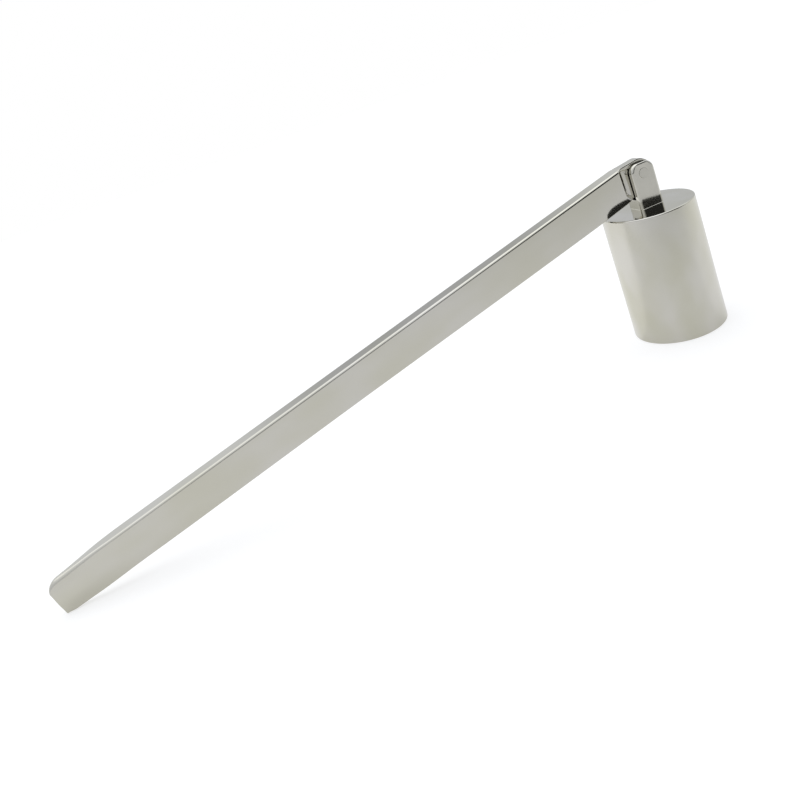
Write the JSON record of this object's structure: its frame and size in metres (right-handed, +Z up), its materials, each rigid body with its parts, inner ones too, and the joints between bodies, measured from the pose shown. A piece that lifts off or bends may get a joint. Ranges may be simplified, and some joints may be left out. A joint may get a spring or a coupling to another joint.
{
  "type": "candle snuffer",
  "caption": "Steel candle snuffer with a small flat-topped cup, open below, and a long folded-sheet handle that swings on a pinned lug to put out a flame.",
  "frame": {"origin": "centre of the cup's mouth, in the plane of its rim, which is the plane of the table it stands on", "axes": "+Z up the cup's axis, +Y along the hinge pin, handle towards -X"},
  "size_m": [0.1637, 0.022, 0.0431],
  "materials": {
    "cup_steel": "satin side, mirror-polished top",
    "lug_steel": "polished",
    "pin_steel": "polished flush",
    "screw_steel": "plain turned",
    "handle_steel": "polished along its length"
  },
  "bodies": {
    "cup": {"snuffer_cup": "cup_steel", "hinge_lug": "lug_steel", "hinge_pin": "pin_steel", "lug_screw": "screw_steel"},
    "handle": {"handle_channel": "handle_steel"}
  },
  "joints": [
    {"name": "handle_swing", "type": "hinge", "parent": "cup", "child": "handle", "pos_m": [0, 0, 0.0394], "axis": [0, 1, 0], "range_deg": [-4, 198]}
  ]
}
